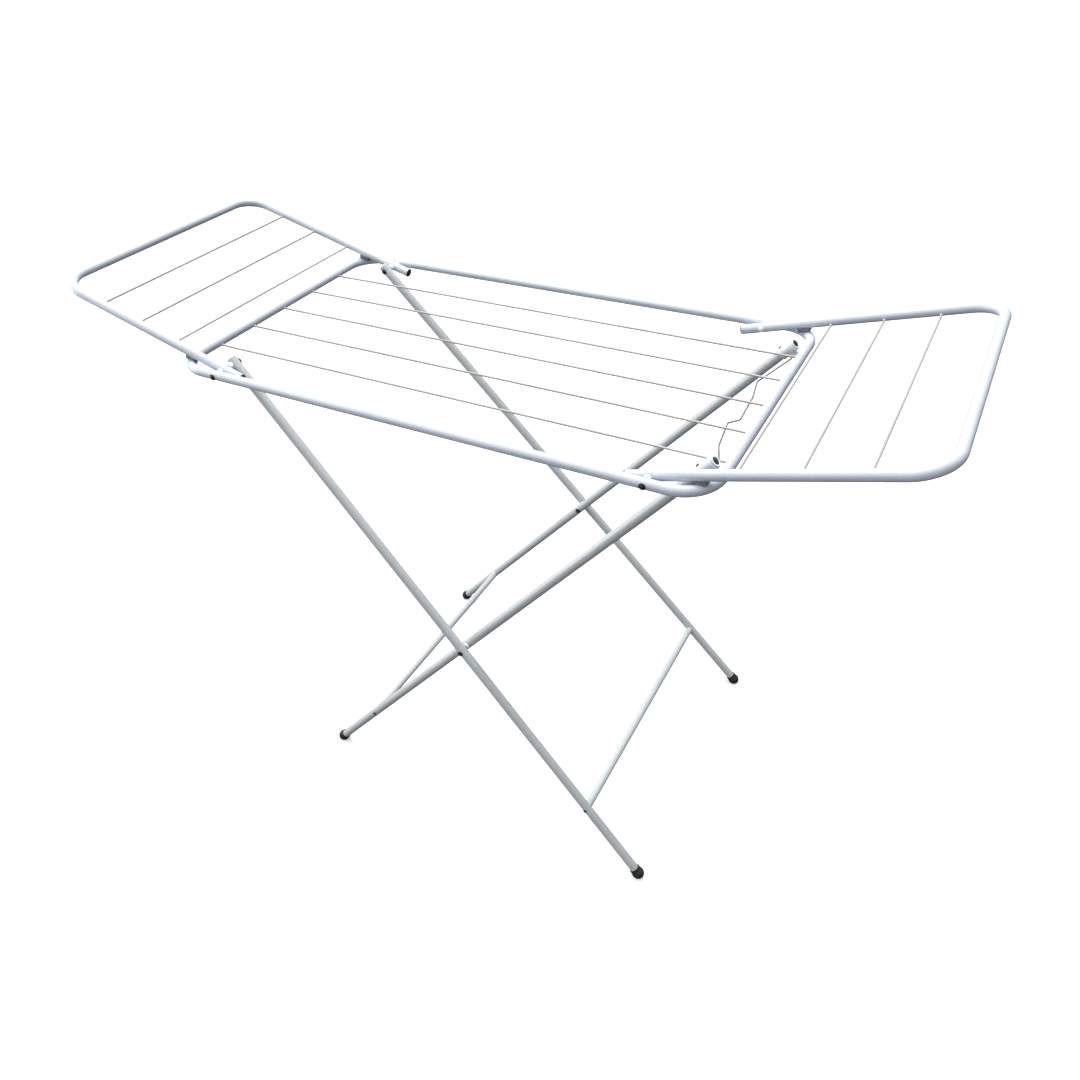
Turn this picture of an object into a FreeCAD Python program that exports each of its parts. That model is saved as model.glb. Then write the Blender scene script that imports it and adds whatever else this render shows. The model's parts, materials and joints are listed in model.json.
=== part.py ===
import FreeCAD, Part
import math
import os

# A clothes drying rack: a level panel of wires, a folding wing at each end and two leg frames
# that cross in an X. Lengths are in millimetres and angles in degrees.
# X runs along the rack, Y runs across it and Z is up. The origin is on the floor, below the
# middle of the panel. The left end is towards -X and the front is towards -Y.
# Leg frame A hangs from the left end of the panel. Leg frame B carries the right end on two
# hooks, and stands inside frame A.

# Panel
PANEL_LENGTH = 1050.0        # between the axes of the two end bars
PANEL_WIDTH = 583.0          # between the axes of the two long tubes
PANEL_HEIGHT = 1005.0        # floor to the axis of the panel tubes
PANEL_BEND_RADIUS = 62.0
PANEL_WIRE_COUNT = 5
PANEL_WIRE_MARGIN = 24.25     # axis of leg B, level with the panel, to the outermost wire
WIRE_DIAMETER = 4.0
WIRE_DROP = 5.0              # wires run this far below the axis of the tube that holds them
CORNER_STUB = 4.0            # straight length past each corner bend, up to the end bar

# Tubes
TUBE_DIAMETER = 18.0         # panel and wings
TUBE_WALL = 1.0
LEG_DIAMETER = 19.0
LEG_WALL = 1.2
CROSSBAR_DIAMETER = 16.0

# Wings
WING_PIVOT_INSET = 98.0      # end bar axis to the pivot
WING_MEETING_GAP = 10.0      # between the outer bars of the two wings when both are folded in
WING_TAIL = 40.0             # how far the side tubes run on past the pivot
WING_BEND_RADIUS = 55.0
WING_SIDE_GAP = 5.0          # between a wing's side tube and the panel's long tube
WING_WIRE_COUNT = 3
WING_WIRE_FIRST = 128.0      # pivot to the first wire
WING_WIRE_MARGIN = 101.0     # last wire to the axis of the outer bar
REST_PAD_THICKNESS = 5.4     # pad between a side tube and the panel tube it lies on
REST_PAD_WIDTH = 15.0
REST_PAD_LENGTH = 22.0
REST_PAD_SHIFT = 10.0        # middle of the pad, inwards from where the side tube crosses the corner

# Legs
LEG_RUN = 874.0              # level distance from the top of a leg to its foot
LEG_A_SIDE_GAP = 9.5         # between a wing's side tube and the top of leg A
LEG_SIDE_GAP = 13.25         # between legs A and B, side by side, level with the panel
LEG_A_SPLAY = 68.0           # how much further out a leg is at its foot than at its top
LEG_B_SPLAY = 81.25
CROSSBAR_HEIGHT = 150.0
FOOT_BULGE = 3.5             # how far the round foot stands out from the leg
FOOT_COLLAR_WALL = 2.0
FOOT_HEIGHT = 26.0           # along the leg
FOOT_SOLE = 3.0              # rubber under the end of the tube
FOOT_FLAT = 1.0              # depth of the ball that the flat sole takes off

# Hooks on top of leg B, and the wire between them
HOOK_SLEEVE_WALL = 2.0
HOOK_SLEEVE_LENGTH = 32.0
HOOK_LEDGE_THICKNESS = 6.0
HOOK_LEDGE_WIDTH = 20.0
HOOK_LEDGE_REACH = 3.0       # ledge past the axis of the end bar
HOOK_TOP_SETBACK = 1.0       # end of the leg tube to the top of the sleeve
SPREADER_DIAMETER = 3.0
SPREADER_SINK = 2.6          # top of the ledge to the axis of the spreader wire
SPREADER_BEND_RADIUS = 6.0
SPREADER_LEG_GAP = 4.5       # between the side of a leg and the wire
# Bends of the wire: X from the top of leg B, and the share of the way from the front leg to the
# back one.
SPREADER_BENDS = [(-12.0, 0.176), (-22.0, 0.346), (-7.0, 0.385), (-11.0, 0.572), (-21.0, 0.704)]

# Fasteners and small parts
RIVET_DIAMETER = 6.0
RIVET_HEAD_DIAMETER = 12.0
RIVET_HEAD_HEIGHT = 3.5
PIN_CAP_DEPTH = 2.2          # how far a pivot pin reaches into the cap on its inner end
SPACER_DIAMETER = 14.0
SCREW_DIAMETER = 4.0
SCREW_HEAD_DIAMETER = 8.0
SCREW_HEAD_HEIGHT = 2.4
SCREW_BITE = 14.0            # screw past the inner side of the leg
PLUG_DEPTH = 7.0
PLUG_ROOM = 1.0              # between the plug in the top of a leg and the rivet below it
PLUG_HEAD_HEIGHT = 2.5
CROSSBAR_PLUG_LENGTH = 20.0

# Clearances
RUNNING = 0.05               # radial, between a rivet and the bore that turns on it
FACE_GAP = 0.4               # between faces that slide past each other
SEAT = 0.05                  # radial, between pieces that are fixed together
STOP_GAP = 0.4               # between a moving piece and what it rests on

# Sizes that follow from the ones above
HALF_LENGTH = PANEL_LENGTH / 2
HALF_WIDTH = PANEL_WIDTH / 2
PIVOT_X = HALF_LENGTH - WING_PIVOT_INSET
TUBE_RADIUS = TUBE_DIAMETER / 2
LEG_RADIUS = LEG_DIAMETER / 2
LEG_SLOPE_SINE = PANEL_HEIGHT / math.hypot(PANEL_HEIGHT, LEG_RUN)
LEG_TOP_OVERRUN = RIVET_DIAMETER / 2 + PLUG_ROOM + PLUG_DEPTH
WING_SIDE_Y = HALF_WIDTH - TUBE_DIAMETER - WING_SIDE_GAP
WING_REACH = PIVOT_X - TUBE_RADIUS - WING_MEETING_GAP / 2
LEG_A_TOP_Y = WING_SIDE_Y - TUBE_RADIUS - LEG_A_SIDE_GAP - LEG_RADIUS
LEG_B_TOP_Y = LEG_A_TOP_Y - LEG_DIAMETER - LEG_SIDE_GAP
HOOK_SLEEVE_RADIUS = LEG_RADIUS + HOOK_SLEEVE_WALL
LEG_B_TOP_X = HALF_LENGTH - (TUBE_RADIUS + STOP_GAP + HOOK_SLEEVE_RADIUS) / LEG_SLOPE_SINE
PANEL_WIRE_SPACING = 2 * (LEG_B_TOP_Y - PANEL_WIRE_MARGIN) / (PANEL_WIRE_COUNT - 1)
WING_WIRE_SPACING = (WING_REACH - WING_WIRE_MARGIN - WING_WIRE_FIRST) / (WING_WIRE_COUNT - 1)
FOOT_DIAMETER = LEG_DIAMETER + 2 * FOOT_BULGE
LEDGE_TOP = PANEL_HEIGHT - TUBE_RADIUS - STOP_GAP
FRONT = -1
BACK = 1
LEFT = -1
RIGHT = 1

V = FreeCAD.Vector
ORIGIN = V(0, 0, 0)
ALONG_Y = V(0, 1, 0)
UP = V(0, 0, 1)


def rod(start, end, diameter):
    """A solid round bar between two points."""
    axis = end - start
    return Part.makeCylinder(diameter / 2, axis.Length, start, axis)


def tube(start, end, diameter, wall):
    """A straight tube, open at both ends."""
    return rod(start, end, diameter).cut(rod(start, end, diameter - 2 * wall))


def bent_path(points, bend_radius):
    """Straight runs joined by tangent arcs of one radius."""
    edges = []
    start = points[0]
    for before, corner, after in zip(points, points[1:], points[2:]):
        incoming = (corner - before).normalize()
        outgoing = (after - corner).normalize()
        turn = incoming.getAngle(outgoing)
        setback = bend_radius * math.tan(turn / 2)
        inward = (outgoing - incoming).normalize()
        arc_start = corner - incoming * setback
        arc_end = corner + outgoing * setback
        arc_middle = corner + inward * (bend_radius / math.cos(turn / 2) - bend_radius)
        edges.append(Part.makeLine(start, arc_start))
        edges.append(Part.Arc(arc_start, arc_middle, arc_end).toShape())
        start = arc_end
    edges.append(Part.makeLine(start, points[-1]))
    return Part.Wire(edges)


def bent_rod(points, bend_radius, diameter):
    """A solid round bar along a bent path."""
    path = bent_path(points, bend_radius)
    section = Part.Wire([Part.makeCircle(diameter / 2, points[0], points[1] - points[0])])
    return path.makePipeShell([section], True, False)


def bent_tube(points, bend_radius, diameter, wall):
    """A tube along a bent path, open at both ends."""
    outside = bent_rod(points, bend_radius, diameter)
    return outside.cut(bent_rod(points, bend_radius, diameter - 2 * wall))


def dome(base, direction, diameter, height):
    """A shallow domed head that stands on a point."""
    direction = V(direction).normalize()
    radius = diameter / 2
    ball_radius = (radius ** 2 + height ** 2) / (2 * height)
    centre = base + direction * (height - ball_radius)
    latitude = math.degrees(math.asin((ball_radius - height) / ball_radius))
    return Part.makeSphere(ball_radius, centre, direction, latitude, 90, 360)


def rivet(first, second):
    """A rivet between the undersides of its two domed heads."""
    axis = second - first
    shank = rod(first, second, RIVET_DIAMETER)
    near_head = dome(first, -axis, RIVET_HEAD_DIAMETER, RIVET_HEAD_HEIGHT)
    far_head = dome(second, axis, RIVET_HEAD_DIAMETER, RIVET_HEAD_HEIGHT)
    return shank.fuse([near_head, far_head]).removeSplitter()


def capped_pin(first, second):
    """A rivet with one domed head, and the cap that is pressed on its plain end."""
    axis = (second - first).normalize()
    pin_end = second + axis * PIN_CAP_DEPTH
    pin = rod(first, pin_end, RIVET_DIAMETER)
    pin = pin.fuse(dome(first, -axis, RIVET_HEAD_DIAMETER, RIVET_HEAD_HEIGHT)).removeSplitter()
    cap = dome(second, axis, RIVET_HEAD_DIAMETER, RIVET_HEAD_HEIGHT)
    return pin, cap.cut(rod(second - axis, pin_end, RIVET_DIAMETER + 2 * SEAT))


def spacer(start, end):
    """A ring that is pressed on a rivet."""
    return rod(start, end, SPACER_DIAMETER).cut(rod(start, end, RIVET_DIAMETER + 2 * SEAT))


def end_plug(tube_end, outward, tube_diameter, wall):
    """A domed plug that is pressed into the open end of a tube."""
    outward = V(outward).normalize()
    diameter = tube_diameter - 2 * wall - 2 * SEAT
    stem = rod(tube_end - outward * PLUG_DEPTH, tube_end, diameter)
    return stem.fuse(dome(tube_end, outward, diameter, PLUG_HEAD_HEIGHT)).removeSplitter()


def save(name, *shapes):
    """Writes one or more solids as one part file."""
    solids = [solid for shape in shapes for solid in shape.Solids]
    shape = solids[0] if len(solids) == 1 else Part.makeCompound(solids)
    shape.exportStep("parts/" + name + ".step")


# Panel

BAR_END_Y = HALF_WIDTH - PANEL_BEND_RADIUS - CORNER_STUB


def side_tube_axis(end):
    """A long tube and its two corner bends, up to the end bars."""
    return [
        V(-HALF_LENGTH, end * BAR_END_Y, PANEL_HEIGHT),
        V(-HALF_LENGTH, end * HALF_WIDTH, PANEL_HEIGHT),
        V(HALF_LENGTH, end * HALF_WIDTH, PANEL_HEIGHT),
        V(HALF_LENGTH, end * BAR_END_Y, PANEL_HEIGHT),
    ]


def end_bar_axis(side):
    """The two ends of an end bar: side is -1 on the left and 1 on the right."""
    x = side * HALF_LENGTH
    return V(x, -BAR_END_Y, PANEL_HEIGHT), V(x, BAR_END_Y, PANEL_HEIGHT)


def panel_wire_axis(number):
    """The two ends of a panel wire, counted from the front."""
    y = (number - (PANEL_WIRE_COUNT + 1) / 2) * PANEL_WIRE_SPACING
    z = PANEL_HEIGHT - WIRE_DROP
    return V(-HALF_LENGTH, y, z), V(HALF_LENGTH, y, z)


def side_tube(end):
    """A long tube of the panel, with a hole for the rivet of each wing."""
    shape = bent_tube(side_tube_axis(end), PANEL_BEND_RADIUS, TUBE_DIAMETER, TUBE_WALL)
    for side in (LEFT, RIGHT):
        centre = V(side * PIVOT_X, end * HALF_WIDTH, PANEL_HEIGHT)
        reach = ALONG_Y * TUBE_DIAMETER
        shape = shape.cut(rod(centre - reach, centre + reach, RIVET_DIAMETER + 2 * SEAT))
    return shape


def end_bar(side):
    """The straight bar across one end of the panel, with holes for the wires."""
    shape = tube(*end_bar_axis(side), TUBE_DIAMETER, TUBE_WALL)
    for number in range(1, PANEL_WIRE_COUNT + 1):
        shape = shape.cut(rod(*panel_wire_axis(number), WIRE_DIAMETER + 2 * SEAT))
    return shape


def make_panel():
    save("panel_side_tube_front", side_tube(FRONT))
    save("panel_side_tube_back", side_tube(BACK))
    save("panel_end_bar_left", end_bar(LEFT))
    save("panel_end_bar_right", end_bar(RIGHT))
    for number in range(1, PANEL_WIRE_COUNT + 1):
        save("panel_wire_%d" % number, rod(*panel_wire_axis(number), WIRE_DIAMETER))


# Wings, made flat for the right end with the pivot at the origin, and then put in place

def corner_setback(y):
    """How far the panel's corner lies inside the end bar, at a distance from the middle."""
    past_bend = y - (HALF_WIDTH - PANEL_BEND_RADIUS)
    if past_bend <= 0:
        return 0.0
    return PANEL_BEND_RADIUS - math.sqrt(PANEL_BEND_RADIUS ** 2 - past_bend ** 2)


REST_RUN = WING_PIVOT_INSET - corner_setback(WING_SIDE_Y)
REST_RISE = TUBE_DIAMETER + REST_PAD_THICKNESS
WING_TILT = math.degrees(math.atan2(REST_RISE, REST_RUN))


def tilt_wing(shape):
    """Tilts a flat wing piece, and moves it to the pivot at the right end."""
    placed = shape.copy()
    placed.rotate(ORIGIN, ALONG_Y, -WING_TILT)
    placed.translate(V(PIVOT_X, 0, PANEL_HEIGHT))
    return placed


def turn_to(shape, side):
    """Turns a piece that is made for the right end round to the left end."""
    placed = shape.copy()
    if side == LEFT:
        placed.rotate(ORIGIN, UP, 180)
    return placed


def place_wing(shape, side):
    return turn_to(tilt_wing(shape), side)


def wing_wire_axis(number):
    """The two ends of a wing wire, counted from the pivot."""
    x = WING_WIRE_FIRST + (number - 1) * WING_WIRE_SPACING
    return V(x, -WING_SIDE_Y, -WIRE_DROP), V(x, WING_SIDE_Y, -WIRE_DROP)


def flat_wing_tube():
    outline = [
        V(-WING_TAIL, -WING_SIDE_Y, 0),
        V(WING_REACH, -WING_SIDE_Y, 0),
        V(WING_REACH, WING_SIDE_Y, 0),
        V(-WING_TAIL, WING_SIDE_Y, 0),
    ]
    shape = bent_tube(outline, WING_BEND_RADIUS, TUBE_DIAMETER, TUBE_WALL)
    across = ALONG_Y * HALF_WIDTH
    shape = shape.cut(rod(-across, across, RIVET_DIAMETER + 2 * RUNNING))
    for number in range(1, WING_WIRE_COUNT + 1):
        shape = shape.cut(rod(*wing_wire_axis(number), WIRE_DIAMETER + 2 * SEAT))
    return shape


def flat_rest_pad(end):
    """A block under a side tube, hollowed to fit it."""
    middle = REST_RUN / math.cos(math.radians(WING_TILT)) - REST_PAD_SHIFT
    corner = V(
        middle - REST_PAD_LENGTH / 2,
        end * WING_SIDE_Y - REST_PAD_WIDTH / 2,
        -TUBE_RADIUS - REST_PAD_THICKNESS,
    )
    block = Part.makeBox(REST_PAD_LENGTH, REST_PAD_WIDTH, TUBE_RADIUS + REST_PAD_THICKNESS, corner)
    side_start = V(0, end * WING_SIDE_Y, 0)
    side_end = V(WING_REACH, end * WING_SIDE_Y, 0)
    return block.cut(rod(side_start, side_end, TUBE_DIAMETER))


def rest_pad(end):
    """A rest pad in place at the right end, hollowed to fit the corner of the panel."""
    middle = V(0, end * HALF_WIDTH, PANEL_HEIGHT)
    corner_axis = [middle] + side_tube_axis(end)[2:]
    corner_room = bent_rod(corner_axis, PANEL_BEND_RADIUS, TUBE_DIAMETER + 2 * STOP_GAP)
    return tilt_wing(flat_rest_pad(end)).cut(corner_room)


def make_wing(name, side):
    save(name + "_tube", place_wing(flat_wing_tube(), side))
    for number in range(1, WING_WIRE_COUNT + 1):
        wire = rod(*wing_wire_axis(number), WIRE_DIAMETER)
        save("%s_wire_%d" % (name, number), place_wing(wire, side))
    pads = []
    plugs = []
    for end in (FRONT, BACK):
        pads.append(turn_to(rest_pad(end), side))
        tail_end = V(-WING_TAIL, end * WING_SIDE_Y, 0)
        plugs.append(place_wing(end_plug(tail_end, V(-1, 0, 0), TUBE_DIAMETER, TUBE_WALL), side))
    save(name + "_rest_pads", *pads)
    save(name + "_tail_plugs", *plugs)


# Legs. A leg is given by its top, level with the panel, and its foot on the floor.

def leg_top(frame, end):
    if frame == "a":
        return V(-PIVOT_X, end * LEG_A_TOP_Y, PANEL_HEIGHT)
    return V(LEG_B_TOP_X, end * LEG_B_TOP_Y, PANEL_HEIGHT)


def leg_foot(frame, end):
    if frame == "a":
        return V(-PIVOT_X + LEG_RUN, end * (LEG_A_TOP_Y + LEG_A_SPLAY), 0)
    return V(LEG_B_TOP_X - LEG_RUN, end * (LEG_B_TOP_Y + LEG_B_SPLAY), 0)


def leg_point(frame, end, height):
    """The point on a leg's axis at a height above the floor."""
    foot = leg_foot(frame, end)
    return foot + (leg_top(frame, end) - foot) * (height / PANEL_HEIGHT)


def leg_upward(frame, end):
    return (leg_top(frame, end) - leg_foot(frame, end)).normalize()


def leg_tube_ends(frame, end):
    """The bottom end clears the floor by the sole of the foot cap."""
    upward = leg_upward(frame, end)
    rise = FOOT_SOLE + LEG_RADIUS * math.sqrt(1 - upward.z ** 2)
    bottom = leg_foot(frame, end) + upward * (rise / upward.z)
    return bottom, leg_top(frame, end) + upward * LEG_TOP_OVERRUN


def leg_face(frame, end, disc_diameter):
    """From a leg's axis, along Y, to a flat disc that touches the splayed leg."""
    upward = leg_upward(frame, end)
    cosine = math.sqrt(1 - upward.y ** 2)
    return LEG_RADIUS / cosine + disc_diameter / 2 * abs(upward.y) / cosine


CROSS_HEIGHT = PANEL_HEIGHT * (1 - (PIVOT_X + LEG_B_TOP_X) / (2 * LEG_RUN))
SCREW_BORE = SCREW_DIAMETER + 2 * SEAT


def crossbar_axis(frame):
    return (leg_point(frame, end, CROSSBAR_HEIGHT) for end in (FRONT, BACK))


def screw_axis(frame, end):
    """From under the head of a crossbar screw to its tip."""
    centre = leg_point(frame, end, CROSSBAR_HEIGHT)
    outward = ALONG_Y * end
    head_side = centre + outward * leg_face(frame, end, SCREW_HEAD_DIAMETER)
    return head_side, centre - outward * (LEG_RADIUS + SCREW_BITE)


def leg_tube(frame, end):
    """One leg, bored for its pivots and for the crossbar's screw."""
    bottom, top = leg_tube_ends(frame, end)
    shape = tube(bottom, top, LEG_DIAMETER, LEG_WALL)
    reach = ALONG_Y * LEG_DIAMETER
    crossing = leg_point(frame, end, CROSS_HEIGHT)
    cross_bore = RIVET_DIAMETER + 2 * (SEAT if frame == "a" else RUNNING)
    shape = shape.cut(rod(crossing - reach, crossing + reach, cross_bore))
    if frame == "a":
        pivot = leg_top(frame, end)
        shape = shape.cut(rod(pivot - reach, pivot + reach, RIVET_DIAMETER + 2 * RUNNING))
    return shape.cut(rod(*screw_axis(frame, end), SCREW_BORE))


def leg_rod(frame, end):
    """The full outside of a leg, for shaping what fits to it."""
    return rod(leg_foot(frame, end), leg_tube_ends(frame, end)[1], LEG_DIAMETER)


def foot_cap(frame, end):
    """A rounded cap on the end of a leg, with a flat sole on the floor."""
    upward = leg_upward(frame, end)
    foot = leg_foot(frame, end)
    ball = Part.makeSphere(FOOT_DIAMETER / 2, foot + upward * (FOOT_DIAMETER / 2 - FOOT_FLAT))
    collar = rod(foot, foot + upward * FOOT_HEIGHT, LEG_DIAMETER + 2 * FOOT_COLLAR_WALL)
    floor_corner = foot - V(FOOT_DIAMETER, FOOT_DIAMETER, FOOT_DIAMETER)
    below_floor = Part.makeBox(2 * FOOT_DIAMETER, 2 * FOOT_DIAMETER, FOOT_DIAMETER, floor_corner)
    shape = ball.fuse(collar).removeSplitter().cut(below_floor)
    return shape.cut(rod(*leg_tube_ends(frame, end), LEG_DIAMETER))


def crossbar(frame):
    """A tube with its ends shaped to the legs."""
    shape = tube(*crossbar_axis(frame), CROSSBAR_DIAMETER, TUBE_WALL)
    return shape.cut(leg_rod(frame, FRONT)).cut(leg_rod(frame, BACK))


def crossbar_plug(frame, end):
    """The block inside the end of a crossbar that its screw bites into."""
    centre = leg_point(frame, end, CROSSBAR_HEIGHT)
    inner = centre - ALONG_Y * (end * (LEG_RADIUS + CROSSBAR_PLUG_LENGTH))
    diameter = CROSSBAR_DIAMETER - 2 * TUBE_WALL - 2 * SEAT
    block = rod(centre, inner, diameter).cut(leg_rod(frame, end))
    return block.cut(rod(*screw_axis(frame, end), SCREW_BORE))


def crossbar_screw(frame, end):
    head_side, tip = screw_axis(frame, end)
    head = dome(head_side, head_side - tip, SCREW_HEAD_DIAMETER, SCREW_HEAD_HEIGHT)
    return rod(head_side, tip, SCREW_DIAMETER).fuse(head).removeSplitter()


def make_leg_frame(frame):
    for end, word in ((FRONT, "front"), (BACK, "back")):
        save("leg_%s_tube_%s" % (frame, word), leg_tube(frame, end))
        save("leg_%s_foot_%s" % (frame, word), foot_cap(frame, end))
    save("leg_%s_crossbar" % frame, crossbar(frame))
    save("leg_%s_crossbar_plugs" % frame, *[crossbar_plug(frame, end) for end in (FRONT, BACK)])
    save("leg_%s_crossbar_screws" % frame, *[crossbar_screw(frame, end) for end in (FRONT, BACK)])
    plugs = []
    for end in (FRONT, BACK):
        top = leg_tube_ends(frame, end)[1]
        plugs.append(end_plug(top, leg_upward(frame, end), LEG_DIAMETER, LEG_WALL))
    save("leg_%s_top_plugs" % frame, *plugs)


# Hooks of leg B, and the wire that spreads them

def hook(end):
    """A sleeve round the top of a leg, with a ledge that carries the end bar."""
    top = leg_top("b", end)
    sleeve_top = leg_tube_ends("b", end)[1] - leg_upward("b", end) * HOOK_TOP_SETBACK
    sleeve_bottom = sleeve_top - leg_upward("b", end) * HOOK_SLEEVE_LENGTH
    sleeve = rod(sleeve_bottom, sleeve_top, 2 * HOOK_SLEEVE_RADIUS)
    ledge_bottom = LEDGE_TOP - HOOK_LEDGE_THICKNESS
    ledge_start = leg_point("b", end, ledge_bottom).x
    ledge_length = HALF_LENGTH + HOOK_LEDGE_REACH - ledge_start
    corner = V(ledge_start, top.y - HOOK_LEDGE_WIDTH / 2, ledge_bottom)
    ledge = Part.makeBox(ledge_length, HOOK_LEDGE_WIDTH, HOOK_LEDGE_THICKNESS, corner)
    shape = sleeve.fuse(ledge).removeSplitter().cut(leg_rod("b", end))
    return shape.cut(spreader_wire(SPREADER_DIAMETER + 2 * SEAT))


def spreader_wire(diameter):
    """The bent wire between the hooks, with its ends in their ledges."""
    z = LEDGE_TOP - SPREADER_SINK
    leg_side_x = leg_point("b", FRONT, z).x + LEG_RADIUS / LEG_SLOPE_SINE
    end_x = leg_side_x + SPREADER_LEG_GAP + SPREADER_DIAMETER / 2
    turn_y = LEG_B_TOP_Y - LEG_DIAMETER
    points = [V(end_x, -LEG_B_TOP_Y, z), V(end_x, -turn_y, z)]
    points += [V(LEG_B_TOP_X + x, (2 * share - 1) * LEG_B_TOP_Y, z) for x, share in SPREADER_BENDS]
    points += [V(end_x, turn_y, z), V(end_x, LEG_B_TOP_Y, z)]
    return bent_rod(points, SPREADER_BEND_RADIUS, diameter)


# Pivots

def make_pivots():
    """Rivets, pins and spacers at the wing pivots, the top of leg A and the crossing of the legs."""
    outside = HALF_WIDTH + TUBE_RADIUS
    wing_outer = WING_SIDE_Y + TUBE_RADIUS
    wing_inner = WING_SIDE_Y - TUBE_RADIUS
    long_rivets = []
    short_pins = []
    pin_caps = []
    wing_spacers = []
    leg_spacers = []
    cross_rivets = []
    cross_spacers = []
    for end in (FRONT, BACK):
        left = V(-PIVOT_X, 0, PANEL_HEIGHT)
        right = V(PIVOT_X, 0, PANEL_HEIGHT)
        y = ALONG_Y * end
        leg_inner = LEG_A_TOP_Y - leg_face("a", end, RIVET_HEAD_DIAMETER) - FACE_GAP
        leg_outer = LEG_A_TOP_Y + leg_face("a", end, SPACER_DIAMETER) + FACE_GAP
        long_rivets.append(rivet(left + y * outside, left + y * leg_inner))
        pin, cap = capped_pin(right + y * outside, right + y * (wing_inner - FACE_GAP))
        short_pins.append(pin)
        pin_caps.append(cap)
        for pivot in (left, right):
            wing_spacers.append(
                spacer(pivot + y * (HALF_WIDTH - TUBE_RADIUS), pivot + y * (wing_outer + FACE_GAP))
            )
        leg_spacers.append(spacer(left + y * (wing_inner - FACE_GAP), left + y * leg_outer))
        crossing_a = leg_point("a", end, CROSS_HEIGHT)
        crossing_b = leg_point("b", end, CROSS_HEIGHT)
        head_a = crossing_a + y * leg_face("a", end, RIVET_HEAD_DIAMETER)
        head_b = crossing_b - y * (leg_face("b", end, RIVET_HEAD_DIAMETER) + FACE_GAP)
        cross_rivets.append(rivet(head_a, head_b))
        ring_a = crossing_a - y * leg_face("a", end, SPACER_DIAMETER)
        ring_b = crossing_b + y * (leg_face("b", end, SPACER_DIAMETER) + FACE_GAP)
        cross_spacers.append(spacer(ring_a, ring_b))
    save("pivot_rivets_left", *long_rivets)
    save("pivot_pins_right", *short_pins)
    save("pivot_caps_right", *pin_caps)
    save("wing_spacers", *wing_spacers)
    save("leg_spacers", *leg_spacers)
    save("cross_rivets", *cross_rivets)
    save("cross_spacers", *cross_spacers)


os.makedirs("parts", exist_ok=True)
make_panel()
make_wing("left_wing", LEFT)
make_wing("right_wing", RIGHT)
make_leg_frame("a")
make_leg_frame("b")
save("leg_b_hook_front", hook(FRONT))
save("leg_b_hook_back", hook(BACK))
save("leg_b_spreader_wire", spreader_wire(SPREADER_DIAMETER))
make_pivots()
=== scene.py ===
import json
import math

import bmesh
import bpy
from mathutils import Matrix, Vector, noise


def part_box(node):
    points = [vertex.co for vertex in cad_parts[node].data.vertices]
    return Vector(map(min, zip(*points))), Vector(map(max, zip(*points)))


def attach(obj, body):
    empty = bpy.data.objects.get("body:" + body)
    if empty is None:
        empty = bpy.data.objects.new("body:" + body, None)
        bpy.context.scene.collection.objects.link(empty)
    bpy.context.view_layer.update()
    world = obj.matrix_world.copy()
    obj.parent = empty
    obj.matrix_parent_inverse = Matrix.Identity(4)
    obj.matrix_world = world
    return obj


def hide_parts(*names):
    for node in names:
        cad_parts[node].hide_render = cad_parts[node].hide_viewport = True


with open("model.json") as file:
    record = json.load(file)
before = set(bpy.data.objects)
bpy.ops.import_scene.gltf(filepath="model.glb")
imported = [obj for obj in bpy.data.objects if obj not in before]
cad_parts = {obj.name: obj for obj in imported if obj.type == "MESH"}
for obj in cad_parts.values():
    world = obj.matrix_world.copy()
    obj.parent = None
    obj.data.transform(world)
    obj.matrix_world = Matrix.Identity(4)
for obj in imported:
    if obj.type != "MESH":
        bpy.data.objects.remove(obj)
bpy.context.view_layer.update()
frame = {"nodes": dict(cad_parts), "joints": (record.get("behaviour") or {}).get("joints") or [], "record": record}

# A white clothes drying rack on crossed tube legs. Everything is in metres, in the CAD frame:
# X runs along the rack from left to right, Y from front to back, and Z is up from the floor.
NODES = frame["nodes"]
BODY_OF = {}
for body, members in frame["record"]["behaviour"]["bodies"].items():
    for member in members:
        BODY_OF[member] = body
SLOT_OF = {row["node"]: row["material_slot"] for row in frame["record"]["subparts"]}
JOINT_AT = {joint["name"]: Vector(joint["pos_m"]) for joint in frame["joints"]}
SIDES = (("front", -1), ("back", 1))
ENDS = (("left", -1), ("right", 1))
WINGS = (("left_wing", -1), ("right_wing", 1))
ACROSS = Vector((0, 1, 0))


# Materials

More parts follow.
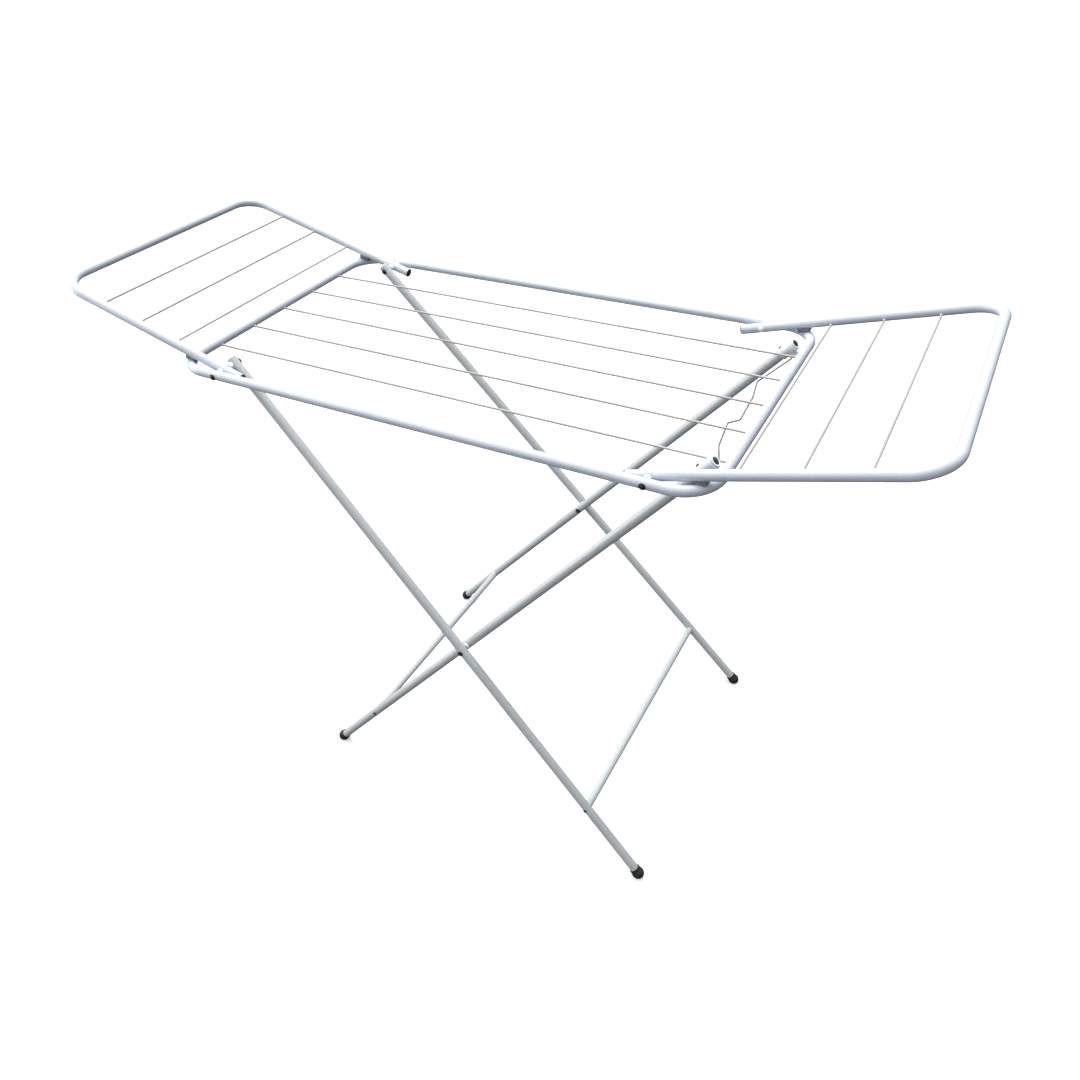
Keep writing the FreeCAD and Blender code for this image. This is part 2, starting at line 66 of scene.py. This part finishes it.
class Nodes:
    """Builds one material's nodes with short calls."""

    def __init__(self, name):
        self.material = bpy.data.materials.new(name)
        self.material.use_nodes = True
        self.tree = self.material.node_tree
        self.tree.nodes.clear()
        self.output = self.add("ShaderNodeOutputMaterial")
        self.shader = self.add("ShaderNodeBsdfPrincipled")
        self.link(self.shader.outputs["BSDF"], self.output.inputs["Surface"])
        self.place = self.add("ShaderNodeTexCoord").outputs["Object"]

    def add(self, kind, **values):
        node = self.tree.nodes.new(kind)
        for key, value in values.items():
            setattr(node, key, value)
        return node

    def link(self, output, socket):
        self.tree.links.new(output, socket)

    def put(self, socket, value):
        """Sets a socket to a number or colour, or links an output to it."""
        if hasattr(value, "is_linked"):
            self.link(value, socket)
        elif isinstance(value, (tuple, list)):
            socket.default_value = tuple(value) + ((1.0,) if len(value) == 3 else ())
        else:
            socket.default_value = value

    def noise(self, scale, detail=2.0, rough=0.5, stretch=None):
        """Noise over the object's own space. scale is in features per metre."""
        node = self.add("ShaderNodeTexNoise")
        node.inputs["Scale"].default_value = scale
        node.inputs["Detail"].default_value = detail
        node.inputs["Roughness"].default_value = rough
        place = self.place
        if stretch:
            mapping = self.add("ShaderNodeMapping")
            mapping.inputs["Scale"].default_value = stretch
            self.link(place, mapping.inputs["Vector"])
            place = mapping.outputs["Vector"]
        self.link(place, node.inputs["Vector"])
        return node.outputs["Fac"]

    def cells(self, scale):
        node = self.add("ShaderNodeTexVoronoi")
        node.inputs["Scale"].default_value = scale
        self.link(self.place, node.inputs["Vector"])
        return node.outputs["Distance"]

    def span(self, value, low, high, to_low=0.0, to_high=1.0):
        """Maps low..high to to_low..to_high, and clamps."""
        node = self.add("ShaderNodeMapRange")
        self.put(node.inputs["Value"], value)
        node.inputs["From Min"].default_value = low
        node.inputs["From Max"].default_value = high
        node.inputs["To Min"].default_value = to_low
        node.inputs["To Max"].default_value = to_high
        return node.outputs["Result"]

    def mix(self, share, first, second, blend="MIX"):
        node = self.add("ShaderNodeMix", data_type="RGBA", blend_type=blend)
        self.put(node.inputs[0], share)
        self.put(node.inputs[6], first)
        self.put(node.inputs[7], second)
        return node.outputs[2]

    def maths(self, operation, first, second=0.0):
        node = self.add("ShaderNodeMath", operation=operation)
        self.put(node.inputs[0], first)
        self.put(node.inputs[1], second)
        return node.outputs[0]

    def bump(self, height, distance, strength=1.0, under=None):
        node = self.add("ShaderNodeBump")
        node.inputs["Distance"].default_value = distance
        node.inputs["Strength"].default_value = strength
        self.link(height, node.inputs["Height"])
        if under is not None:
            self.link(under, node.inputs["Normal"])
        return node.outputs["Normal"]

    def finish(self, **sockets):
        for name, value in sockets.items():
            self.put(self.shader.inputs[name.replace("_", " ")], value)
        return self.material


def upward(n):
    """How far a face looks up: 1 on top, 0 on the sides and below."""
    split = n.add("ShaderNodeSeparateXYZ")
    n.link(n.add("ShaderNodeNewGeometry").outputs["Normal"], split.inputs["Vector"])
    return n.span(split.outputs["Z"], 0.15, 0.95)


def edge_wear(n, amount):
    """Patches where corners and rims are rubbed."""
    rims = n.span(n.add("ShaderNodeNewGeometry").outputs["Pointiness"], 0.54, 0.62)
    patches = n.span(n.noise(420.0, 3.0), 0.45, 0.62)
    return n.maths("MULTIPLY", n.maths("MULTIPLY", rims, patches), amount)


def powder_coat(name, light, dark, flake, roughness):
    """Baked paint: soft orange peel, faint mottling, rubbed specks and a little dust on top."""
    n = Nodes(name)
    mottle = n.span(n.noise(9.0, 4.0, 0.6), 0.35, 0.68)
    tone = n.mix(mottle, dark, light)
    fine = n.span(n.noise(1500.0, 1.0), 0.30, 0.70)
    tone = n.mix(n.maths("MULTIPLY", fine, flake), tone, (1.0, 1.0, 1.0), "SOFT_LIGHT")
    scuff = n.span(n.noise(60.0, 5.0, 0.7, (1.0, 1.0, 4.0)), 0.66, 0.74)
    tone = n.mix(n.maths("MULTIPLY", scuff, 0.35), tone, tuple(c * 0.72 for c in dark))
    dust = n.maths("MULTIPLY", upward(n), n.span(n.noise(30.0, 4.0), 0.4, 0.75))
    tone = n.mix(n.maths("MULTIPLY", dust, 0.14), tone, (0.80, 0.79, 0.76))
    tone = n.mix(edge_wear(n, 0.5), tone, (0.42, 0.43, 0.45))
    rough = n.span(mottle, 0.0, 1.0, roughness, roughness + 0.10)
    rough = n.maths("ADD", rough, n.maths("MULTIPLY", dust, 0.18))
    peel = n.bump(n.noise(480.0, 2.0, 0.45), 0.00012, 0.22)
    peel = n.bump(n.noise(2600.0, 1.0), 0.00004, 0.15, peel)
    return n.finish(Base_Color=tone, Roughness=rough, Normal=peel,
                    Coat_Weight=0.25, Coat_Roughness=0.22)


def coated_wire():
    """Steel wire in a thin plastic coat, with faint drawing ripples and slight yellowing."""
    n = Nodes("coated_wire")
    age = n.span(n.noise(6.0, 3.0), 0.35, 0.7)
    tone = n.mix(age, (0.47, 0.445, 0.43), (0.40, 0.37, 0.355))
    specks = n.span(n.noise(380.0, 3.0), 0.68, 0.78)
    tone = n.mix(n.maths("MULTIPLY", specks, 0.3), tone, (0.45, 0.42, 0.40))
    ripple = n.bump(n.noise(260.0, 2.0, 0.5, (0.15, 0.15, 1.0)), 0.00015, 0.5)
    rough = n.span(age, 0.0, 1.0, 0.30, 0.42)
    return n.finish(Base_Color=tone, Roughness=rough, Normal=ripple,
                    Coat_Weight=0.15, Coat_Roughness=0.25)


def zinc():
    """Dull zinc plate: cloudy spangle, fine draw lines and darker tarnish."""
    n = Nodes("zinc_wire")
    cloud = n.span(n.cells(240.0), 0.05, 0.55)
    tone = n.mix(cloud, (0.17, 0.175, 0.18), (0.30, 0.31, 0.32))
    tarnish = n.span(n.noise(90.0, 4.0, 0.65), 0.50, 0.70)
    tone = n.mix(n.maths("MULTIPLY", tarnish, 0.55), tone, (0.11, 0.105, 0.10))
    lines = n.bump(n.noise(900.0, 2.0, 0.5, (1.0, 0.08, 1.0)), 0.00008, 0.6)
    rough = n.span(cloud, 0.0, 1.0, 0.36, 0.52)
    return n.finish(Base_Color=tone, Metallic=0.85, Roughness=rough, Normal=lines)


def rubber(name, base, bloom, dust):
    """Moulded rubber: pebbled skin, grey bloom, and dust on top."""
    n = Nodes(name)
    cloud = n.span(n.noise(140.0, 4.0, 0.6), 0.35, 0.7)
    tone = n.mix(cloud, base, bloom)
    tone = n.mix(n.maths("MULTIPLY", upward(n), dust), tone, (0.22, 0.21, 0.20))
    scrape = n.span(n.noise(700.0, 3.0), 0.63, 0.70)
    tone = n.mix(n.maths("MULTIPLY", scrape, 0.4), tone, tuple(c * 2.5 for c in base))
    skin = n.bump(n.cells(1900.0), 0.00018, 0.6)
    return n.finish(Base_Color=tone, Roughness=n.span(cloud, 0.0, 1.0, 0.58, 0.78), Normal=skin)


def moulded(name, base, shade, roughness, grain):
    """Moulded plastic: fine spark-eroded grain, slight flow marks and polished edges."""
    n = Nodes(name)
    flow = n.span(n.noise(75.0, 3.0, 0.55, (1.0, 1.0, 0.35)), 0.35, 0.68)
    tone = n.mix(flow, base, shade)
    tone = n.mix(edge_wear(n, 0.4), tone, tuple(min(1.0, c * 1.35 + 0.03) for c in base))
    skin = n.bump(n.noise(3200.0, 2.0), 0.00006, grain)
    skin = n.bump(flow, 0.00025, 0.25, skin)
    rough = n.span(flow, 0.0, 1.0, roughness, roughness + 0.12)
    return n.finish(Base_Color=tone, Roughness=rough, Normal=skin)


def black_oxide():
    """Blackened steel heads: dull sheen, with bare metal where the tool struck."""
    n = Nodes("black_fasteners")
    cloud = n.span(n.noise(500.0, 3.0), 0.35, 0.7)
    tone = n.mix(cloud, (0.014, 0.014, 0.017), (0.036, 0.036, 0.040))
    tone = n.mix(edge_wear(n, 0.8), tone, (0.35, 0.35, 0.36))
    hammered = n.bump(n.noise(900.0, 2.0), 0.0001, 0.5)
    rough = n.span(cloud, 0.0, 1.0, 0.32, 0.5)
    return n.finish(Base_Color=tone, Metallic=0.6, Roughness=rough, Normal=hammered)


MATERIALS = {
    "white_paint": powder_coat(
        "white_paint", (0.61, 0.67, 0.765), (0.55, 0.61, 0.705), 0.10, 0.32),
    "leg_paint": powder_coat(
        "leg_paint", (0.56, 0.605, 0.625), (0.51, 0.555, 0.575), 0.25, 0.34),
    "coated_wire": coated_wire(),
    "zinc_wire": zinc(),
    "foot_rubber": rubber("foot_rubber", (0.006, 0.006, 0.007), (0.015, 0.015, 0.017), 0.06),
    # The pads' dark blue-grey is partly the rubber's own colour and partly painted shade: it is darkened to stand
    # in for the shadow between the wing tubes and the frame's corners.
    "pad_rubber": rubber("pad_rubber", (0.13, 0.15, 0.18), (0.19, 0.21, 0.25), 0.15),
    "hook_plastic": moulded("hook_plastic", (0.78, 0.83, 0.88), (0.70, 0.76, 0.82), 0.38, 0.5),
    "black_plastic": moulded(
        "black_plastic", (0.010, 0.010, 0.012), (0.022, 0.022, 0.025), 0.36, 0.5),
    "inner_plastic": moulded("inner_plastic", (0.60, 0.60, 0.58), (0.52, 0.52, 0.50), 0.45, 0.4),
    "black_fasteners": black_oxide(),
}


def dress(piece, slot):
    piece.data.materials.clear()
    piece.data.materials.append(MATERIALS[slot])


def smooth(mesh):
    mesh.polygons.foreach_set("use_smooth", [True] * len(mesh.polygons))


for node_name, node in NODES.items():
    dress(node, SLOT_OF[node_name])


# New pieces

def piece_from(name, bm, slot, node, replaces=False):
    """Makes a piece that rides with a CAD node."""
    bmesh.ops.recalc_face_normals(bm, faces=bm.faces)
    mesh = bpy.data.meshes.new(name)
    bm.to_mesh(mesh)
    bm.free()
    smooth(mesh)
    piece = bpy.data.objects.new(name, mesh)
    bpy.context.scene.collection.objects.link(piece)
    dress(piece, slot)
    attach(piece, BODY_OF[node])
    if replaces:
        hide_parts(node)
    return piece


def strips(bm, pairs, steps):
    """Faces between pairs of rings that have the same number of points."""
    for low, high in pairs:
        for step in range(steps):
            after = (step + 1) % steps
            bm.faces.new([low[step], low[after], high[after], high[step]])


def lathe(bm, profile, base, direction, segments):
    """Turns a profile of (distance, radius) pairs round an axis. A zero radius closes the end."""
    axis = Vector(direction).normalized()
    across = axis.orthogonal().normalized()
    other = axis.cross(across)
    rings = []
    for distance, radius in profile:
        centre = Vector(base) + axis * distance
        if radius < 1e-7:
            rings.append([bm.verts.new(centre)])
            continue
        ring = []
        for step in range(segments):
            turn = 2 * math.pi * step / segments
            outward = across * math.cos(turn) + other * math.sin(turn)
            ring.append(bm.verts.new(centre + outward * radius))
        rings.append(ring)
    for low, high in zip(rings, rings[1:]):
        for step in range(segments):
            after = (step + 1) % segments
            corners = [low[step % len(low)], low[after % len(low)],
                       high[after % len(high)], high[step % len(high)]]
            corners = list(dict.fromkeys(corners))
            if len(corners) > 2:
                bm.faces.new(corners)


def arc(centre, radius, start, end, steps):
    """Points of a profile's rounded part, with angles in degrees from the axis."""
    points = []
    for step in range(steps + 1):
        turn = math.radians(start + (end - start) * step / steps)
        points.append((centre[0] - radius * math.cos(turn), centre[1] + radius * math.sin(turn)))
    return points


# The lines of the frame, as the CAD has them

def middle(node_name):
    low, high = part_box(node_name)
    return (low + high) / 2


LEVEL = JOINT_AT["leg_frame_a_fold"].z
PIVOT_X = JOINT_AT["right_wing_fold"].x
LEG_RADIUS = 0.0095
TUBE_RADIUS = 0.009
WIRE_RADIUS = 0.002
LEG_RUN = 0.874              # level distance from a leg's top to its foot
LEG_OVERRUN = 0.011          # a leg tube's length past its pivot
WING_SIDE_Y = 0.2685
WING_TAIL = 0.040            # a wing tube's length past its pivot
SMALL_PLUG_RADIUS = 0.0064
SLEEVE_RADIUS = 0.0115       # of a hook's sleeve
SLEEVE_LOW_END = 0.033       # leg tube's end to the low end of the sleeve
SLEEVE_SCREW_RISE = 0.006    # low end of the sleeve to its screw
END_BAR_X = middle("panel_end_bar_right").x
B_TOP_SETBACK = 0.0209       # end bar's axis to the axis of leg B, square to the leg
B_TOP_X = END_BAR_X - B_TOP_SETBACK / (LEVEL / math.hypot(LEVEL, LEG_RUN))
# Top and foot of the back leg of each frame, as (x, y)
LEGS = {
    "a": ((-PIVOT_X, 0.2405), (-PIVOT_X + LEG_RUN, 0.3085)),
    "b": ((B_TOP_X, 0.20825), (B_TOP_X - LEG_RUN, 0.2895)),
}


def leg_line(frame_name, end):
    """The foot of a leg on the floor, and the direction up the leg."""
    (top_x, top_y), (foot_x, foot_y) = LEGS[frame_name]
    foot = Vector((foot_x, end * foot_y, 0.0))
    return foot, (Vector((top_x, end * top_y, LEVEL)) - foot).normalized()


# Feet: a round rubber cap with a collar, grip rings and a flat sole

def foot_profile():
    collar, groove = 0.01150, 0.01115
    points = [(-0.001, 0.0)] + arc((0.012, 0.0), 0.013, 6, 118, 26)
    points += [(0.0190, 0.01155), (0.0198, collar)]
    for ring in range(3):
        start = 0.0200 + ring * 0.0017
        points += [(start, collar), (start + 0.0003, groove)]
        points += [(start + 0.0008, groove), (start + 0.0011, collar)]
    points += arc((0.0252, 0.0107), 0.0008, 90, 180, 6)
    points += [(0.0258, 0.00960), (0.0252, 0.00953), (0.0120, 0.00953), (0.0120, 0.0)]
    return points


for frame_name in ("a", "b"):
    for word, end in SIDES:
        foot, up = leg_line(frame_name, end)
        bm = bmesh.new()
        lathe(bm, foot_profile(), foot, up, 56)
        for vert in bm.verts:
            vert.co.z = max(vert.co.z, 0.0)
        node_name = "leg_%s_foot_%s" % (frame_name, word)
        piece_from("foot_cap_%s_%s" % (frame_name, word), bm, "foot_rubber", node_name, True)


# Plugs in the open tube ends

def plug_profile(rim):
    """A flange on the tube's end, a small step and a low crown."""
    start, height, steps = 0.0014, 0.0015, 8
    base = rim - 0.0009
    points = [(-0.0030, 0.0), (-0.0030, rim - 0.0014), (0.0, rim - 0.0014), (0.0, rim - 0.0002)]
    points += [(0.0003, rim), (0.0009, rim), (0.0012, rim - 0.0002), (0.0012, rim - 0.0007)]
    points.append((start, base))
    for step in range(1, steps):
        turn = math.pi / 2 * step / steps
        points.append((start + height * math.sin(turn), base * math.cos(turn) ** 0.75))
    return points + [(start + height, 0.0)]


def plugs(name, node_name, radius, places):
    bm = bmesh.new()
    for base, direction in places:
        lathe(bm, plug_profile(radius), base, direction, 40)
    return piece_from(name, bm, SLOT_OF[node_name], node_name, True)


def collars(name, node_name, slot, places):
    """Pale rings that hold the small plugs in the tops of the legs."""
    bm = bmesh.new()
    bore, rim = 0.0065, 0.0095
    profile = [(0.0002, bore), (0.0002, rim - 0.0002), (0.0006, rim), (0.0012, rim)]
    profile += [(0.0018, rim - 0.0005), (0.0021, rim - 0.0013), (0.0021, bore + 0.0005)]
    profile += [(0.0017, bore), (0.0002, bore)]
    for base, direction in places:
        lathe(bm, profile, base, direction, 40)
    bmesh.ops.remove_doubles(bm, verts=bm.verts, dist=1e-6)
    return piece_from(name, bm, slot, node_name)


def leg_end(frame_name, end):
    """The top end of a leg tube, and the direction up the leg."""
    foot, up = leg_line(frame_name, end)
    return foot + up * (LEVEL / up.z + LEG_OVERRUN), up


for frame_name in ("a", "b"):
    places = [leg_end(frame_name, end) for word, end in SIDES]
    node_name = "leg_%s_top_plugs" % frame_name
    if frame_name == "a":
        plugs("end_plugs_leg_a", node_name, LEG_RADIUS, places)
    else:
        plugs("end_plugs_leg_b", node_name, SMALL_PLUG_RADIUS, places)
        collars("plug_collars_leg_b", node_name, "hook_plastic", places)


def screw_profile():
    """A low pan head with a rounded edge and a sunk middle."""
    points = [(-0.0015, 0.0), (-0.0015, 0.0012), (-0.0004, 0.0012), (-0.0004, 0.0030)]
    points += arc((0.0006, 0.0022), 0.0010, 90, 180, 6)
    return points + [(0.0017, 0.0013), (0.0009, 0.0009), (0.0009, 0.0)]


for word, end in SIDES:
    top, up = leg_end("b", end)
    out = Vector((-up.z, 0.0, up.x)).normalized()
    bm = bmesh.new()
    place = top - up * (SLEEVE_LOW_END - SLEEVE_SCREW_RISE) + out * SLEEVE_RADIUS
    lathe(bm, screw_profile(), place, out, 28)
    piece_from("hook_screw_" + word, bm, "black_fasteners", "leg_b_hook_" + word)


def wing_direction(wing, side):
    """Along a wing's side tube, from its pivot outwards."""
    low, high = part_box(wing + "_tube")
    outer = max(abs(low.x), abs(high.x)) - TUBE_RADIUS
    run = Vector((side * (outer - PIVOT_X), 0.0, high.z - TUBE_RADIUS - LEVEL))
    return run.normalized()


def wing_pivot(side, end):
    """The pivot, on the axis of a wing's side tube."""
    return Vector((side * PIVOT_X, end * WING_SIDE_Y, LEVEL))


for wing, side in WINGS:
    outward = wing_direction(wing, side)
    places = [(wing_pivot(side, end) - outward * WING_TAIL, -outward) for word, end in SIDES]
    plugs(wing + "_end_plugs", wing + "_tail_plugs", TUBE_RADIUS, places)


# Moulded pieces: the CAD shape with its edges rounded off

def rounded_copy(node_name, name, slot, voxel, passes):
    """Copies a CAD node's shape and rounds all its edges."""
    bm = bmesh.new()
    bm.from_mesh(NODES[node_name].data)
    bmesh.ops.remove_doubles(bm, verts=bm.verts, dist=1e-6)
    piece = piece_from(name, bm, slot, node_name, True)
    remesh = piece.modifiers.new("remesh", "REMESH")
    remesh.mode = "VOXEL"
    remesh.voxel_size = voxel
    relax = piece.modifiers.new("relax", "SMOOTH")
    relax.factor = 0.5
    relax.iterations = passes
    thin = piece.modifiers.new("thin", "DECIMATE")
    thin.ratio = 0.35
    graph = bpy.context.evaluated_depsgraph_get()
    mesh = bpy.data.meshes.new_from_object(piece.evaluated_get(graph))
    piece.modifiers.clear()
    piece.data = mesh
    smooth(mesh)
    dress(piece, slot)
    return piece


for word, end in SIDES:
    rounded_copy("leg_b_hook_" + word, "hook_" + word, "hook_plastic", 0.0006, 5)
for wing, side in WINGS:
    # The pads take the dark blue-grey rubber, which carries painted shade for the shadow under the wing tubes at
    # the corners.
    rounded_copy(wing + "_rest_pads", wing + "_pads", "pad_rubber", 0.0005, 6)


# Paint fillets where a wire enters a tube

FILLET_STEPS = 20
# Pairs of (share of the wire's radius, height over the tube)
FILLET = ((1.95, -0.0004), (1.62, 0.00022), (1.32, 0.0007), (1.10, 0.0014), (1.0, 0.0023),
          (0.9, 0.0023), (0.9, -0.0004))


def wire_fillet(bm, wire_centre, toward, tube_point, tube_axis):
    """A small ring of paint round a wire, laid on the tube that it enters. toward points from the
    tube out along the wire."""
    toward = toward.normalized()
    across = tube_axis.normalized()
    other = toward.cross(across).normalized()
    rings = []
    for spread, lift in FILLET:
        ring = []
        for step in range(FILLET_STEPS):
            turn = 2 * math.pi * step / FILLET_STEPS
            offset = (across * math.cos(turn) + other * math.sin(turn)) * WIRE_RADIUS * spread
            point = wire_centre + offset
            away = (point - tube_point).dot(other)
            reach = math.sqrt(TUBE_RADIUS ** 2 - away ** 2)
            along = (point - tube_point).dot(toward)
            ring.append(bm.verts.new(point + toward * (reach - along + lift)))
        rings.append(ring)
    strips(bm, zip(rings, rings[1:] + rings[:1]), FILLET_STEPS)


for word, side in ENDS:
    bar = "panel_end_bar_" + word
    bm = bmesh.new()
    for number in range(1, 6):
        wire = middle("panel_wire_%d" % number)
        wire_fillet(bm, wire, Vector((-side, 0, 0)), middle(bar), ACROSS)
    piece_from("wire_fillets_" + word, bm, "white_paint", bar)

for wing, side in WINGS:
    outward = wing_direction(wing, side)
    bm = bmesh.new()
    for number in range(1, 4):
        wire = middle("%s_wire_%d" % (wing, number))
        for word, end in SIDES:
            wire_fillet(bm, wire, -end * ACROSS, wing_pivot(side, end), outward)
    piece_from(wing + "_wire_fillets", bm, "white_paint", wing + "_tube")


# Weld beads where the end bars meet the corner bends

BEAD_STEPS = 72
BEAD_HALF_WIDTH = 0.0021
BEAD_RIPPLES = 24
# Pairs of (share of the half width, height over the tube)
BEAD = ((-1.0, -0.0002), (-0.75, 0.00012), (-0.4, 0.00034), (0.0, 0.00042), (0.4, 0.00034),
        (0.75, 0.00012), (1.0, -0.0002))


def weld_bead(bm, centre, seed):
    """A low uneven bead round a butt joint of the end bar."""
    across = ACROSS.orthogonal().normalized()
    other = ACROSS.cross(across)
    rings = []
    for share, height in BEAD:
        ring = []
        for step in range(BEAD_STEPS):
            turn = 2 * math.pi * step / BEAD_STEPS
            radial = across * math.cos(turn) + other * math.sin(turn)
            wobble = noise.noise(Vector((seed, math.cos(turn) * 5, math.sin(turn) * 5)))
            ripple = math.cos(turn * BEAD_RIPPLES)
            shift = wobble * (0.0003 + 0.00007 * ripple)
            lift = height * (1 + 0.3 * wobble) + (0.00006 * ripple if height > 0.0003 else 0)
            along = ACROSS * (share * BEAD_HALF_WIDTH + shift)
            ring.append(bm.verts.new(centre + along + radial * (TUBE_RADIUS + lift)))
        rings.append(ring)
    strips(bm, zip(rings, rings[1:] + rings[:1]), BEAD_STEPS)


for word, side in ENDS:
    bar = "panel_end_bar_" + word
    low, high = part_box(bar)
    bm = bmesh.new()
    for seed, y in ((side * 3.0, low.y), (side * 7.0, high.y)):
        weld_bead(bm, Vector((middle(bar).x, y, LEVEL)), seed)
    piece_from("weld_beads_" + word, bm, "white_paint", bar)


# Floor, light and camera

def floor():
    bm = bmesh.new()
    bmesh.ops.create_grid(bm, x_segments=1, y_segments=1, size=FLOOR_REACH)
    mesh = bpy.data.meshes.new("floor")
    bm.to_mesh(mesh)
    bm.free()
    plane = bpy.data.objects.new("floor", mesh)
    plane.location = (0, 0, -FLOOR_DROP)
    plane.visible_diffuse = False
    plane.visible_glossy = False
    bpy.context.scene.collection.objects.link(plane)
    n = Nodes("floor")
    tone = n.mix(n.span(n.noise(3.0, 3.0), 0.3, 0.7), (0.93, 0.93, 0.93), (0.95, 0.95, 0.95))
    n.finish(Base_Color=tone, Roughness=0.85, Specular_IOR_Level=0.0)
    n.finish(Emission_Color=(1.0, 1.0, 1.0), Emission_Strength=FLOOR_GLOW)
    plane.data.materials.append(n.material)


def lamp(name, place, target, size, power, colour=(1.0, 1.0, 1.0)):
    light = bpy.data.lights.new(name, "AREA")
    light.shape = "RECTANGLE"
    light.size, light.size_y = size
    light.energy = power
    light.color = colour
    holder = bpy.data.objects.new(name, light)
    holder.location = place
    holder.rotation_euler = (Vector(target) - Vector(place)).to_track_quat("-Z", "Y").to_euler()
    bpy.context.scene.collection.objects.link(holder)


def sky():
    """A white tent that is brightest overhead and dark below the floor."""
    world = bpy.data.worlds.new("world")
    bpy.context.scene.world = world
    world.use_nodes = True
    tree = world.node_tree
    direction = tree.nodes.new("ShaderNodeTexCoord").outputs["Generated"]
    split = tree.nodes.new("ShaderNodeSeparateXYZ")
    tree.links.new(direction, split.inputs["Vector"])
    height = tree.nodes.new("ShaderNodeMapRange")
    height.inputs["From Min"].default_value = -1.0
    tree.links.new(split.outputs["Z"], height.inputs["Value"])
    ramp = tree.nodes.new("ShaderNodeValToRGB")
    tree.links.new(height.outputs["Result"], ramp.inputs["Fac"])
    stops = ramp.color_ramp.elements
    while len(stops) < len(SKY):
        stops.new(0.5)
    for stop, (height_share, level) in zip(stops, SKY):
        stop.position = height_share
        stop.color = (level, level, level, 1.0)
    side = tree.nodes.new("ShaderNodeMapRange")
    side.inputs["From Min"].default_value = -1.0
    side.inputs["To Min"].default_value, side.inputs["To Max"].default_value = SKY_SIDES
    tree.links.new(split.outputs["X"], side.inputs["Value"])
    shaded = tree.nodes.new("ShaderNodeVectorMath")
    shaded.operation = "SCALE"
    tree.links.new(ramp.outputs["Color"], shaded.inputs[0])
    tree.links.new(side.outputs["Result"], shaded.inputs["Scale"])
    seen = tree.nodes.new("ShaderNodeMix")
    seen.data_type = "RGBA"
    tree.links.new(tree.nodes.new("ShaderNodeLightPath").outputs["Is Camera Ray"], seen.inputs[0])
    tree.links.new(shaded.outputs["Vector"], seen.inputs[6])
    seen.inputs[7].default_value = (BACKDROP, BACKDROP, BACKDROP, 1.0)
    background = tree.nodes["Background"]
    tree.links.new(seen.outputs[2], background.inputs["Color"])
    background.inputs["Strength"].default_value = SKY_STRENGTH


def camera():
    place = Vector(CAMERA_PLACE)
    turn = (Vector(CAMERA_TARGET) - place).to_track_quat("-Z", "Y").to_matrix()
    turn = turn @ Matrix.Rotation(math.radians(CAMERA_ROLL), 3, "Z")
    lens = bpy.data.cameras.new("camera")
    lens.sensor_fit = "HORIZONTAL"
    lens.sensor_width = 36.0
    lens.lens = CAMERA_LENS
    lens.clip_start = 0.01
    lens.clip_end = 200.0
    holder = bpy.data.objects.new("camera", lens)
    holder.matrix_world = Matrix.Translation(place) @ turn.to_4x4()
    bpy.context.scene.collection.objects.link(holder)
    bpy.context.scene.camera = holder


CAMERA_PLACE = (0.8403, -1.2866, 1.7576)
CAMERA_TARGET = (0.0686, 0.0, 0.5698)
CAMERA_ROLL = -3.97          # degrees
CAMERA_LENS = 29.779         # millimetres
FLOOR_REACH = 40.0
FLOOR_DROP = 0.0002          # keeps the floor clear of the soles
FLOOR_GLOW = 0.30            # keeps the far floor as pale as the near floor
# Pairs of (0 straight down to 1 straight up, brightness)
SKY = ((0.0, 0.10), (0.42, 0.22), (0.55, 0.62), (0.75, 0.92), (1.0, 1.0))
SKY_SIDES = (1.15, 0.40)     # brightness to the left and to the right
SKY_STRENGTH = 1.25
BACKDROP = 0.72              # what is seen past the floor

floor()
sky()
camera()
lamp("key", (-0.7, 0.7, 3.9), (0.0, 0.0, 0.8), (1.8, 1.8), 105.0)
lamp("fill", (-3.2, -1.2, 0.9), (0.0, 0.0, 0.8), (1.6, 1.6), 32.0, (0.94, 0.97, 1.0))
bpy.context.scene.view_settings.view_transform = "Standard"
